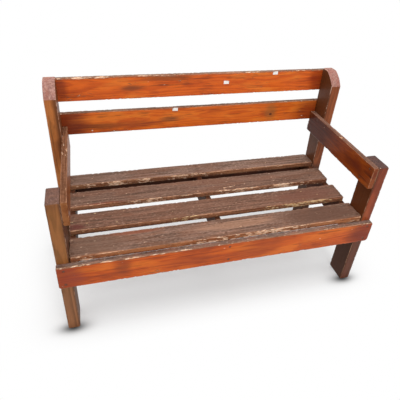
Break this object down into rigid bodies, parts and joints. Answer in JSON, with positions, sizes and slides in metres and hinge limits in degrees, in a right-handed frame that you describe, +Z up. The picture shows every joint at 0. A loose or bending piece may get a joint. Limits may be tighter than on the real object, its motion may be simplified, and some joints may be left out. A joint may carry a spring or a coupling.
{
  "type": "deacons bench",
  "caption": "Nailed pine deacons bench with a slatted seat, level board arms on square front posts and leaning board back rails on bevelled back posts.",
  "frame": {"origin": "on the floor, in the middle of the bench's outer box", "axes": "+X along the bench towards its right-hand end as seen from its front, +Y towards its back, +Z up"},
  "size_m": [1.439, 0.6575, 0.9506],
  "materials": {
    "varnished_pine": "worn gloss varnish",
    "weathered_pine": "dull weathered varnish",
    "shaded_pine": "satin varnish",
    "nail_steel": "dull oxidised",
    "blank_paper": "matte"
  },
  "bodies": {
    "root": {"left_front_post": "varnished_pine", "right_front_post": "varnished_pine", "left_back_post": "varnished_pine", "right_back_post": "varnished_pine", "left_arm": "varnished_pine", "right_arm": "varnished_pine", "left_side_rail": "shaded_pine", "right_side_rail": "shaded_pine", "middle_joist": "shaded_pine", "back_seat_rail": "varnished_pine", "seat_slat_1": "weathered_pine", "seat_slat_2": "weathered_pine", "seat_slat_3": "weathered_pine", "seat_slat_4": "weathered_pine", "front_apron": "varnished_pine", "upper_back_rail": "varnished_pine", "lower_back_rail": "varnished_pine", "seat_nails": "nail_steel", "apron_nails": "nail_steel", "back_seat_rail_nails": "nail_steel", "upper_back_rail_nails": "nail_steel", "lower_back_rail_nails": "nail_steel", "arm_nails": "nail_steel", "side_rail_nails": "nail_steel", "paper_tags": "blank_paper"}
  },
  "joints": []
}
